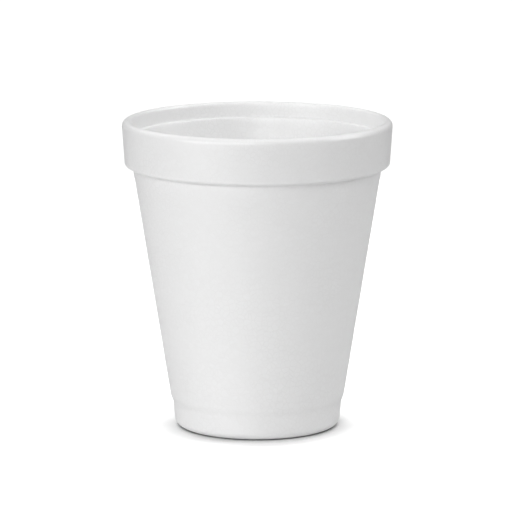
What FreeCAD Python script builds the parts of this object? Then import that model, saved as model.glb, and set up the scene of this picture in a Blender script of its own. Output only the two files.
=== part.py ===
"""Foam drinking cup: one moulded piece of expanded polystyrene, turned about +Z.

A thick band runs round the mouth, under a rounded lip. The body tapers to a small step above a
narrower heel, and the cup stands on a flat ring round a shallow recess. Inside, the mouth drops
to a narrow ledge, and the wall below it follows the outside down to the floor. Such cups nest:
the body of one goes into the mouth of the next until its band rests on the other's lip.

Units are millimetres. The origin is the centre of the ring that the cup stands on.
"""

import FreeCAD
import Part

import math
import os

# Overall
cup_height = 89.0
rim_diameter = 77.7  # widest, just under the rounded lip
base_diameter = 50.2  # outside of the body where it meets the heel step
wall = 2.1

# Band round the mouth
band_height = 12.8  # from the top of the lip to the band's lower corner
band_draft = 0.85  # the band narrows by this much in radius towards its lower corner
band_corner_radius = 0.9
band_underside_drop = 0.85  # fall of the slanted underside, from its outer corner to the body
band_root_radius = 0.6  # hollow where the underside meets the body

# Lip and mouth
lip_thickness = 2.6
lip_outer_radius = 1.6
lip_land = 0.1  # level strip between the outer and the inner rounding
mouth_draft = 0.2
ledge_depth = 4.5  # below the top of the lip
ledge_width = 0.9
ledge_edge_radius = 0.4
ledge_root_radius = 0.3

# Heel and foot
heel_height = 7.15
heel_step_rise = 1.7
heel_inset = 0.7  # the heel's top is this much smaller in radius than the body's foot
heel_draft = 0.7
heel_step_radius = 4.0  # eases both corners of the step, outside and inside
foot_edge_radius = 2.5
foot_ring_width = 1.8
recess_depth = 0.9
recess_slope = 0.9  # run of the sloping side of the recess
recess_corner_radius = 0.4

# Floor
floor_thickness = 2.4
floor_corner_radius = 2.2
gate_mark_diameter = 9.0  # round mark of the filling nozzle, in the middle of the recess
gate_mark_depth = 0.3
gate_mark_slope = 0.3
gate_mark_edge_radius = 0.2

NO_ROUNDING = 0.0
MOST_OF_EDGE = 0.98  # share of an edge that the roundings at its two ends may take up


def at_height(low, high, z):
    """Radius at height z on the straight line through the (radius, z) points low and high."""
    share = (z - low[1]) / (high[1] - low[1])
    return low[0] + share * (high[0] - low[0])


def outside_corners():
    """Corners of the outside as (radius, z, rounding), from the foot ring up to the lip."""
    rim_radius = rim_diameter / 2
    base_radius = base_diameter / 2
    heel_radius = base_radius - heel_inset
    band_low_z = cup_height - band_height
    band_angle = math.atan(band_draft / band_height)
    # The lip's arc runs past level with the drafted band, so its corner stands a little outside
    # the widest point.
    lip_corner = rim_radius + lip_outer_radius * (math.tan(math.pi / 4 + band_angle / 2) - 1)
    neck_z = band_low_z - band_underside_drop
    return [
        (heel_radius - heel_draft, 0, foot_edge_radius),
        (heel_radius, heel_height, heel_step_radius),
        (base_radius, heel_height + heel_step_rise, heel_step_radius),
        (at_height(*inner_wall(), neck_z) + wall, neck_z, band_root_radius),
        (lip_corner - band_draft, band_low_z, band_corner_radius),
        (lip_corner, cup_height, lip_outer_radius),
    ]


def inner_wall():
    """The straight inside of the body, as (radius, z) at the heel step and at the ledge."""
    ledge_radius = rim_diameter / 2 - lip_thickness - mouth_draft - ledge_width
    low = (base_diameter / 2 - wall, heel_height + heel_step_rise)
    high = (ledge_radius, cup_height - ledge_depth)
    return low, high


def inside_corners():
    """Corners of the inside, from the lip down to the floor."""
    (low_radius, low_z), (ledge_radius, ledge_z) = inner_wall()
    floor_z = recess_depth + floor_thickness
    heel_top = (low_radius - heel_inset, heel_height)
    heel_foot = (heel_top[0] - heel_draft, 0)
    lip_inner_radius = lip_thickness - lip_outer_radius - lip_land
    return [
        (rim_diameter / 2 - lip_thickness, cup_height, lip_inner_radius),
        (ledge_radius + ledge_width, ledge_z, ledge_root_radius),
        (ledge_radius, ledge_z, ledge_edge_radius),
        (low_radius, low_z, heel_step_radius),
        (*heel_top, heel_step_radius),
        (at_height(heel_foot, heel_top, floor_z), floor_z, floor_corner_radius),
    ]


def underside_corners():
    """Corners of the underside, from the gate mark in the middle out to the foot ring."""
    heel_foot_radius = base_diameter / 2 - heel_inset - heel_draft
    ring_inner_radius = heel_foot_radius - foot_edge_radius - foot_ring_width
    mark_radius = gate_mark_diameter / 2
    mark_z = recess_depth + gate_mark_depth
    return [
        (mark_radius - gate_mark_slope, mark_z, gate_mark_edge_radius),
        (mark_radius, recess_depth, gate_mark_edge_radius),
        (ring_inner_radius - recess_slope, recess_depth, recess_corner_radius),
        (ring_inner_radius, 0, recess_corner_radius),
    ]


def corner_reach(before, corner, after):
    """How far a corner's rounding takes up each of its two edges."""
    here = to_point(corner)
    half_angle = (to_point(before) - here).getAngle(to_point(after) - here) / 2
    return corner[2] / math.tan(half_angle)


def to_point(corner):
    """The (radius, z, rounding) corner as a point in the XZ plane."""
    return FreeCAD.Vector(corner[0], 0, corner[1])


def rounded_outline(corners):
    """Closed wire through (radius, z, rounding) corners in the XZ plane, with tangent arcs.

    Where two roundings would meet on a short edge, both shrink to leave a straight between them.
    """
    points = [to_point(corner) for corner in corners]
    befores = corners[-1:] + corners[:-1]
    afters = corners[1:] + corners[:1]
    wanted = [corner_reach(*three) for three in zip(befores, corners, afters)]
    edge_shares = []
    for i, reach in enumerate(wanted):
        available = MOST_OF_EDGE * points[i - 1].distanceToPoint(points[i])
        edge_shares.append(available / max(wanted[i - 1] + reach, available))

    joins = []
    edges = []
    for i, here in enumerate(points):
        shares = edge_shares[i], edge_shares[(i + 1) % len(points)]
        reach = wanted[i] * min(shares)
        back = (points[i - 1] - here).normalize()
        ahead = (points[(i + 1) % len(points)] - here).normalize()
        start = here + back * reach
        end = here + ahead * reach
        joins.append((start, end))
        if reach > 0:
            half_angle = back.getAngle(ahead) / 2
            arc_radius = reach * math.tan(half_angle)
            to_arc = arc_radius / math.sin(half_angle) - arc_radius
            middle = here + (back + ahead).normalize() * to_arc
            edges.append(Part.Arc(start, middle, end).toShape())
    for i, (start, end) in enumerate(joins):
        edges.append(Part.LineSegment(joins[i - 1][1], start).toShape())
    return Part.Wire(Part.__sortEdges__(edges))


def cup():
    """The whole cup, as its outline turned about the axis."""
    underside = underside_corners()
    inside = inside_corners()
    on_axis_below = (0, underside[0][1], NO_ROUNDING)
    on_axis_above = (0, inside[-1][1], NO_ROUNDING)
    outline = [on_axis_below, *underside, *outside_corners(), *inside, on_axis_above]
    section = Part.Face(rounded_outline(outline))
    return section.revolve(FreeCAD.Vector(0, 0, 0), FreeCAD.Vector(0, 0, 1), 360)


def main():
    os.makedirs("parts", exist_ok=True)
    solid = cup()
    solid.exportStep("parts/cup.step")
    print("cup:", solid.ShapeType, "valid", solid.isValid(), "volume mm3", round(solid.Volume, 1))


main()
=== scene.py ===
import math

import bmesh
import bpy
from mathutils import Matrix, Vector, noise


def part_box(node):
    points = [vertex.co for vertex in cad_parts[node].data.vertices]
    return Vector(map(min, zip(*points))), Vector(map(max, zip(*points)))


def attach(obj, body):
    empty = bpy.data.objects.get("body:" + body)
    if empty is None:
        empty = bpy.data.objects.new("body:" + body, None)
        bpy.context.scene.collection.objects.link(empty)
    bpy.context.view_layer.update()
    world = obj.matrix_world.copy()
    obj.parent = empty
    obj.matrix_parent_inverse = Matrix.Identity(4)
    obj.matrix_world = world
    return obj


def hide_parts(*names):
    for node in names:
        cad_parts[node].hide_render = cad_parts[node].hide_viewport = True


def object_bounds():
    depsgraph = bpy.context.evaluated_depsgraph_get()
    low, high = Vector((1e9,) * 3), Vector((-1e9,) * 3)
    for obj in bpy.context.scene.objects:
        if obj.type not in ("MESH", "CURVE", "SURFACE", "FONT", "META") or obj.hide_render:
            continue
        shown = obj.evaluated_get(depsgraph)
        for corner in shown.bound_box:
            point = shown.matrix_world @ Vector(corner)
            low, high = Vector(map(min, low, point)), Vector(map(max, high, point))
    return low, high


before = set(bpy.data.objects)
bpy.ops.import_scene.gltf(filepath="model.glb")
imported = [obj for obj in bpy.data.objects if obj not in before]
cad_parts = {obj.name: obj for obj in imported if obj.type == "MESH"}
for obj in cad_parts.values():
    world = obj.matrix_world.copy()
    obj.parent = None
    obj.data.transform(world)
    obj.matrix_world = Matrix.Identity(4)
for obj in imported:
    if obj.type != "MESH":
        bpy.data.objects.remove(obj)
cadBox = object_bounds()
print("frame loaded")


# One moulded piece. Lengths are in metres.
foamCup = {
    "wall": 0.0021,
    "bandHeight": 0.0128,
    "bandDraft": 0.00085,
    "bandCorner": 0.0009,
    "bandUndersideDrop": 0.00085,
    "bandRoot": 0.0006,
    "lipThickness": 0.0026,
    "lipOutside": 0.0016,
    "lipInside": 0.0009,
    "mouthDraft": 0.0002,
    "ledgeDepth": 0.0045,
    "ledgeWidth": 0.0009,
    "ledgeEdge": 0.0004,
    "ledgeRoot": 0.0003,
    "baseRadius": 0.0251,
    "heelHeight": 0.00715,
    "heelStepRise": 0.0017,
    "heelInset": 0.0007,
    "heelDraft": 0.0007,
    "heelStep": 0.004,
    "footEdge": 0.0025,
    "footRingWidth": 0.0018,
    "recessDepth": 0.0009,
    "recessSlope": 0.0009,
    "recessCorner": 0.0004,
    "floorThickness": 0.0024,
    "floorCorner": 0.0022,
    "gateRadius": 0.0045,  # the round mark of the filling nozzle, underneath
    "gateDepth": 0.0003,
    "gateSlope": 0.0003,
    "gateCorner": 0.0002,
    "turnSteps": 256,  # faces round the cup
    "arcSegments": 6,  # faces across each rounded corner
    "rowHeight": 0.0012,  # tallest face up the walls
    "mergeDistance": 0.000001,
    "unevenDepth": 0.00005,  # how far the skin sinks between its high places
    "unevenLength": 0.011,  # from one high place to the next
}


def radiusBetween(low, high, z):
    return low[0] + (high[0] - low[0]) * (z - low[1]) / (high[1] - low[1])


# Corners of the half section as radius, height and rounding: from under the foot, up the outside,
# over the lip and down the inside
def cupCorners(rimRadius, height):
    c = foamCup
    heel = c["baseRadius"] - c["heelInset"]
    foot = heel - c["heelDraft"]
    stepTop = c["heelHeight"] + c["heelStepRise"]
    ringInside = foot - c["footEdge"] - c["footRingWidth"]
    gateTop = c["recessDepth"] + c["gateDepth"]
    bandLow = height - c["bandHeight"]
    neck = bandLow - c["bandUndersideDrop"]
    draftAngle = math.atan(c["bandDraft"] / c["bandHeight"])
    # The lip's arc runs past level with the drafted band, so its corner is outside the widest point
    lipCorner = rimRadius + c["lipOutside"] * (math.tan(math.pi / 4 + draftAngle / 2) - 1)
    mouth = rimRadius - c["lipThickness"]
    ledgeZ = height - c["ledgeDepth"]
    ledge = mouth - c["mouthDraft"] - c["ledgeWidth"]
    innerLow = (c["baseRadius"] - c["wall"], stepTop)
    innerHigh = (ledge, ledgeZ)
    innerHeel = (innerLow[0] - c["heelInset"], c["heelHeight"])
    innerFoot = (innerHeel[0] - c["heelDraft"], 0)
    floorZ = c["recessDepth"] + c["floorThickness"]
    return [
        (0, gateTop, 0),
        (c["gateRadius"] - c["gateSlope"], gateTop, c["gateCorner"]),
        (c["gateRadius"], c["recessDepth"], c["gateCorner"]),
        (ringInside - c["recessSlope"], c["recessDepth"], c["recessCorner"]),
        (ringInside, 0, c["recessCorner"]),
        (foot, 0, c["footEdge"]),
        (heel, c["heelHeight"], c["heelStep"]),
        (c["baseRadius"], stepTop, c["heelStep"]),
        (radiusBetween(innerLow, innerHigh, neck) + c["wall"], neck, c["bandRoot"]),
        (lipCorner - c["bandDraft"], bandLow, c["bandCorner"]),
        (lipCorner, height, c["lipOutside"]),
        (mouth, height, c["lipInside"]),
        (ledge + c["ledgeWidth"], ledgeZ, c["ledgeRoot"]),
        (*innerHigh, c["ledgeEdge"]),
        (*innerLow, c["heelStep"]),
        (*innerHeel, c["heelStep"]),
        (radiusBetween(innerFoot, innerHeel, floorZ), floorZ, c["floorCorner"]),
        (0, floorZ, 0),
    ]


# The half section as a chain of edges, with its corners rounded
def sectionOutline(corners):
    bm = bmesh.new()
    points = [bm.verts.new((radius, 0, z)) for radius, z, rounding in corners]
    for one, other in zip(points, points[1:]):
        bm.edges.new((one, other))
    places = [point.co.copy() for point in points]
    for i in range(1, len(points) - 1):
        turn = (places[i - 1] - places[i]).angle(places[i + 1] - places[i])
        bmesh.ops.bevel(
            bm, geom=[points[i]], offset=corners[i][2] / math.tan(turn / 2), offset_type="OFFSET",
            affect="VERTICES", segments=foamCup["arcSegments"], profile=0.5, material=-1,
        )
    return bm


# Moulded foam is never quite even: the skin sinks a little between high places, but not at the foot
def unevenSkin(bm):
    bm.normal_update()
    moves = []
    for vert in bm.verts:
        wave = noise.noise(vert.co / foamCup["unevenLength"])
        sink = foamCup["unevenDepth"] * (0.5 + 0.5 * wave)
        awayFromFoot = min(1, vert.co.z / foamCup["footEdge"])
        moves.append(vert.normal * -sink * awayFromFoot)
    for vert, move in zip(bm.verts, moves):
        vert.co += move


def makeCup():
    low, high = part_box("cup")
    rimRadius = min(high.x, high.y, -low.x, -low.y)
    bm = sectionOutline(cupCorners(rimRadius, high.z))
    for edge in bm.edges[:]:
        cuts = int(edge.calc_length() / foamCup["rowHeight"])
        if cuts:
            bmesh.ops.subdivide_edges(bm, edges=[edge], cuts=cuts)
    bmesh.ops.spin(
        bm, geom=bm.verts[:] + bm.edges[:], cent=(0, 0, 0), axis=(0, 0, 1), angle=2 * math.pi,
        steps=foamCup["turnSteps"], use_merge=True,
    )
    bmesh.ops.remove_doubles(bm, verts=bm.verts, dist=foamCup["mergeDistance"])
    bmesh.ops.recalc_face_normals(bm, faces=bm.faces)
    unevenSkin(bm)
    mesh = bpy.data.meshes.new("foamCup")
    bm.to_mesh(mesh)
    bm.free()
    for face in mesh.polygons:
        face.use_smooth = True
    cup = bpy.data.objects.new("foamCup", mesh)
    bpy.context.collection.objects.link(cup)
    return cup


# White foam of fused beads under a smooth moulded skin. Depths are in metres.
beadFoam = {
    "beadColor": (0.975, 0.975, 0.975, 1),
    "denseBeadColor": (0.955, 0.955, 0.955, 1),
    # seam tone: partly the seams' own, partly painted shade in their sunken grooves
    "seamToneAndShade": (0.91, 0.91, 0.91, 1),
    "seamStrength": (0.1, 0.9),  # least and most that the seams show, from place to place
    "seamWidth": 0.11,  # share of a bead
    "seamDepth": 0.000012,
    "beadsPerMetre": 640,
    "pillowDepth": 0.000014,  # how far a bead's middle stands out
    "pillowReach": 0.8,  # share of a bead, from its middle
    "fadeLength": 0.02,  # from one place where the beads show to the next
    "fadeDetail": 2,
    "fadeRange": (0.3, 0.7),  # of the noise, from the faintest seams to the clearest
    "roughness": (0.38, 0.46),
    "refraction": 1.59,
    "gloss": 1,
    "pitsPerMetre": 85,
    "pitShare": 0.09,  # of the places where a pit could be
    "pitWidth": 0.07,
    "pitDepth": 0.00004,
    "grainPerMetre": 2300,
    "grainDetail": 3,
    "grainDepth": 0.000002,
    "glow": 0.0008,  # how far light spreads inside
}


# A node with its settings, the fixed values of its sockets and what is linked to them
def addNode(tree, kind, settings=None, values=None, sources=None):
    node = tree.nodes.new(kind)
    for name, setting in (settings or {}).items():
        setattr(node, name, setting)
    for name, value in (values or {}).items():
        node.inputs[name].default_value = value
    for name, source in (sources or {}).items():
        tree.links.new(source, node.inputs[name])
    return node


# Where the seams between beads show: clear in some places, faded in others
def addSeams(tree, place):
    f = beadFoam
    edges = addNode(
        tree, "ShaderNodeTexVoronoi", {"feature": "DISTANCE_TO_EDGE"},
        values={"Scale": f["beadsPerMetre"]}, sources={"Vector": place},
    )
    seam = addNode(
        tree, "ShaderNodeMapRange", {"interpolation_type": "SMOOTHSTEP"},
        values={"From Min": 0, "From Max": f["seamWidth"], "To Min": 1, "To Max": 0},
        sources={"Value": edges.outputs["Distance"]},
    )
    fade = addNode(
        tree, "ShaderNodeTexNoise",
        values={"Scale": 1 / f["fadeLength"], "Detail": f["fadeDetail"]}, sources={"Vector": place},
    )
    strength = addNode(
        tree, "ShaderNodeMapRange",
        values={
            "From Min": f["fadeRange"][0], "From Max": f["fadeRange"][1],
            "To Min": f["seamStrength"][0], "To Max": f["seamStrength"][1],
        },
        sources={"Value": fade.outputs["Fac"]},
    )
    shown = addNode(
        tree, "ShaderNodeMath", {"operation": "MULTIPLY"},
        sources={0: seam.outputs["Result"], 1: strength.outputs["Result"]},
    )
    return shown.outputs["Value"]


# Each bead a little denser or lighter than the next, and the seams greyer: partly their own tone,
# partly painted shade where they sink between the beads
def addBeadToneAndSeamShade(tree, pick, seams):
    tone = addNode(
        tree, "ShaderNodeMix", {"data_type": "RGBA"},
        values={"A": beadFoam["beadColor"], "B": beadFoam["denseBeadColor"]},
        sources={"Factor": pick},
    )
    # painted shade: the seams are darkened where they sink, together with their own greyer tone
    color = addNode(
        tree, "ShaderNodeMix", {"data_type": "RGBA"},
        values={"B": beadFoam["seamToneAndShade"]},
        sources={"Factor": seams, "A": tone.outputs["Result"]},
    )
    return color.outputs["Result"]


# Where the few small pits are, and how deep one goes below the skin
def addPits(tree, place):
    f = beadFoam
    pits = addNode(
        tree, "ShaderNodeTexVoronoi", values={"Scale": f["pitsPerMetre"]}, sources={"Vector": place},
    )
    pick = addNode(tree, "ShaderNodeSeparateColor", sources={"Color": pits.outputs["Color"]})
    here = addNode(
        tree, "ShaderNodeMath", {"operation": "LESS_THAN"},
        values={1: f["pitShare"]}, sources={0: pick.outputs["Blue"]},
    )
    shape = addNode(
        tree, "ShaderNodeMapRange", {"interpolation_type": "SMOOTHSTEP"},
        values={"From Min": 0, "From Max": f["pitWidth"], "To Min": -f["pitDepth"], "To Max": 0},
        sources={"Value": pits.outputs["Distance"]},
    )
    return here.outputs["Value"], shape.outputs["Result"]


# Height of the skin: pillowed beads, sunk seams, pits and a fine grain
def addRelief(tree, place, fromBead, seams):
    f = beadFoam
    pillow = addNode(
        tree, "ShaderNodeMapRange", {"interpolation_type": "SMOOTHSTEP"},
        values={"From Min": 0, "From Max": f["pillowReach"], "To Min": f["pillowDepth"], "To Max": 0},
        sources={"Value": fromBead},
    )
    beaded = addNode(
        tree, "ShaderNodeMath", {"operation": "MULTIPLY_ADD"},
        values={1: -f["seamDepth"]}, sources={0: seams, 2: pillow.outputs["Result"]},
    )
    pitHere, pitShape = addPits(tree, place)
    pitted = addNode(
        tree, "ShaderNodeMath", {"operation": "MULTIPLY_ADD"},
        sources={0: pitHere, 1: pitShape, 2: beaded.outputs["Value"]},
    )
    grain = addNode(
        tree, "ShaderNodeTexNoise",
        values={"Scale": f["grainPerMetre"], "Detail": f["grainDetail"]}, sources={"Vector": place},
    )
    grained = addNode(
        tree, "ShaderNodeMath", {"operation": "MULTIPLY_ADD"},
        values={1: f["grainDepth"]}, sources={0: grain.outputs["Fac"], 2: pitted.outputs["Value"]},
    )
    return grained.outputs["Value"]


def makeFoam():
    f = beadFoam
    material = bpy.data.materials.new("beadFoam")
    material.use_nodes = True
    tree = material.node_tree
    place = addNode(tree, "ShaderNodeTexCoord").outputs["Object"]
    beads = addNode(
        tree, "ShaderNodeTexVoronoi", values={"Scale": f["beadsPerMetre"]}, sources={"Vector": place},
    )
    pick = addNode(tree, "ShaderNodeSeparateColor", sources={"Color": beads.outputs["Color"]})
    seams = addSeams(tree, place)
    # Where the mould pressed a bead flat, it is smoother
    roughness = addNode(
        tree, "ShaderNodeMapRange",
        values={"To Min": f["roughness"][0], "To Max": f["roughness"][1]},
        sources={"Value": pick.outputs["Green"]},
    )
    relief = addRelief(tree, place, beads.outputs["Distance"], seams)
    # The heights are already in metres
    bump = addNode(tree, "ShaderNodeBump", values={"Distance": 1}, sources={"Height": relief})
    skin = tree.nodes["Principled BSDF"]
    tree.links.new(addBeadToneAndSeamShade(tree, pick.outputs["Red"], seams), skin.inputs["Base Color"])
    tree.links.new(roughness.outputs["Result"], skin.inputs["Roughness"])
    tree.links.new(bump.outputs["Normal"], skin.inputs["Normal"])
    skin.inputs["IOR"].default_value = f["refraction"]
    skin.inputs["Specular IOR Level"].default_value = f["gloss"]
    # Light goes a little way into the foam before it comes back
    skin.inputs["Subsurface Weight"].default_value = 1
    skin.inputs["Subsurface Radius"].default_value = (1, 1, 1)
    skin.inputs["Subsurface Scale"].default_value = f["glow"]
    return material


# The floor and the world behind it look white, and give the cup less light than they show
studio = {
    "floorRadius": 0.45,
    "floorSides": 64,
    "floorSeen": 2.2,
    "floorCast": 0.8,
    "contactReach": 0.02,  # how far the darkening round the foot goes, in metres
    "contactSamples": 8,
    "contactDepth": 1.1,
    "contactLean": 20,  # degrees, which makes it wider in front of the foot
    "worldSeen": 1.1,
    "worldCast": 0.06,
}

# Softboxes: degrees round from the camera's side and above the floor, then metres and watts
softboxes = {
    "left": {"round": -50, "above": 24, "away": 1.6, "width": 0.9, "height": 0.5, "power": 5.9},
    "lowLeft": {"round": -45, "above": 4, "away": 1.6, "width": 0.8, "height": 0.25, "power": 4.2},
    "front": {"round": -10, "above": 24, "away": 1.6, "width": 0.4, "height": 0.5, "power": 7},
    "right": {"round": 90, "above": 30, "away": 1.6, "width": 0.5, "height": 0.6, "power": 8},
    "backLeft": {"round": -138, "above": 45, "away": 1.6, "width": 0.8, "height": 0.8, "power": 5},
    "backRight": {"round": 140, "above": 45, "away": 1.6, "width": 0.8, "height": 0.8, "power": 3.5},
    "overhead": {"round": 0, "above": 90, "away": 0.45, "width": 0.5, "height": 0.5, "power": 0.7},
}


# One tone for the light that a surface casts, and the socket of the tone that the camera sees
def addSeenTone(tree, cast, target):
    path = addNode(tree, "ShaderNodeLightPath")
    pick = addNode(
        tree, "ShaderNodeMix", {"data_type": "RGBA"},
        values={"A": (cast, cast, cast, 1)}, sources={"Factor": path.outputs["Is Camera Ray"]},
    )
    tree.links.new(pick.outputs["Result"], target)
    return pick.inputs["B"]


# Brightness of the floor as seen, which falls where the cup is close above it
def addContactShadow(tree):
    lean = math.radians(studio["contactLean"])
    upward = addNode(tree, "ShaderNodeCombineXYZ", values={"Y": math.sin(lean), "Z": math.cos(lean)})
    contact = addNode(
        tree, "ShaderNodeAmbientOcclusion", {"samples": studio["contactSamples"]},
        values={"Distance": studio["contactReach"]}, sources={"Normal": upward.outputs["Vector"]},
    )
    deeper = addNode(
        tree, "ShaderNodeMath", {"operation": "POWER"},
        values={1: studio["contactDepth"]}, sources={0: contact.outputs["AO"]},
    )
    brighter = addNode(
        tree, "ShaderNodeMath", {"operation": "MULTIPLY"},
        values={1: studio["floorSeen"]}, sources={0: deeper.outputs["Value"]},
    )
    return brighter.outputs["Value"]


def makeFloor():
    bm = bmesh.new()
    bmesh.ops.create_circle(
        bm, cap_ends=True, radius=studio["floorRadius"], segments=studio["floorSides"],
    )
    mesh = bpy.data.meshes.new("studioFloor")
    bm.to_mesh(mesh)
    bm.free()
    floor = bpy.data.objects.new("studioFloor", mesh)
    bpy.context.collection.objects.link(floor)
    material = bpy.data.materials.new("paleFloor")
    material.use_nodes = True
    tree = material.node_tree
    skin = tree.nodes["Principled BSDF"]
    skin.inputs["Roughness"].default_value = 1
    skin.inputs["Specular IOR Level"].default_value = 0
    seen = addSeenTone(tree, studio["floorCast"], skin.inputs["Base Color"])
    tree.links.new(addContactShadow(tree), seen)
    mesh.materials.append(material)


def makeWorld():
    world = bpy.data.worlds.new("paleStudio")
    bpy.context.scene.world = world
    world.use_nodes = True
    back = world.node_tree.nodes["Background"]
    tone = studio["worldSeen"]
    seen = addSeenTone(world.node_tree, studio["worldCast"], back.inputs["Color"])
    seen.default_value = (tone, tone, tone, 1)


def addSoftbox(name, box, target):
    light = bpy.data.lights.new(name, "AREA")
    light.shape = "RECTANGLE"
    light.size = box["width"]
    light.size_y = box["height"]
    light.energy = box["power"]
    lamp = bpy.data.objects.new(name, light)
    turn = math.radians(box["round"])
    above = math.radians(box["above"])
    level = math.cos(above)
    outward = Vector((math.sin(turn) * level, -math.cos(turn) * level, math.sin(above)))
    lamp.location = target + outward * box["away"]
    lamp.rotation_mode = "QUATERNION"
    lamp.rotation_quaternion = outward.to_track_quat("Z", "Y")
    lamp.visible_camera = False
    bpy.context.collection.objects.link(lamp)


# The camera looks at the cup's axis from the front, a little above it
viewpoint = {
    "above": 10.2,  # degrees
    "away": 1.2206,
    "aimShare": 0.5536,  # of the cup's height
    "aside": -0.00037,
    "lens": 297.7,  # millimetres
    "farLimit": 20,
}


def makeCamera(height):
    v = viewpoint
    camera = bpy.data.objects.new("camera", bpy.data.cameras.new("camera"))
    camera.data.lens = v["lens"]
    camera.data.clip_end = v["farLimit"]
    above = math.radians(v["above"])
    back = Vector((0, -math.cos(above), math.sin(above)))
    camera.location = Vector((v["aside"], 0, height * v["aimShare"])) + back * v["away"]
    camera.rotation_mode = "QUATERNION"
    camera.rotation_quaternion = back.to_track_quat("Z", "Y")
    bpy.context.collection.objects.link(camera)
    bpy.context.scene.camera = camera


cup = makeCup()
cup.data.materials.append(makeFoam())
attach(cup, "root")
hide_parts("cup")
print("cup made:", len(cup.data.polygons), "faces")

makeFloor()
makeWorld()
cupHeight = cadBox[1].z
for name, box in softboxes.items():
    addSoftbox(name, box, Vector((0, 0, cupHeight / 2)))
makeCamera(cupHeight)
bpy.context.scene.view_settings.view_transform = "Standard"
print("studio made")
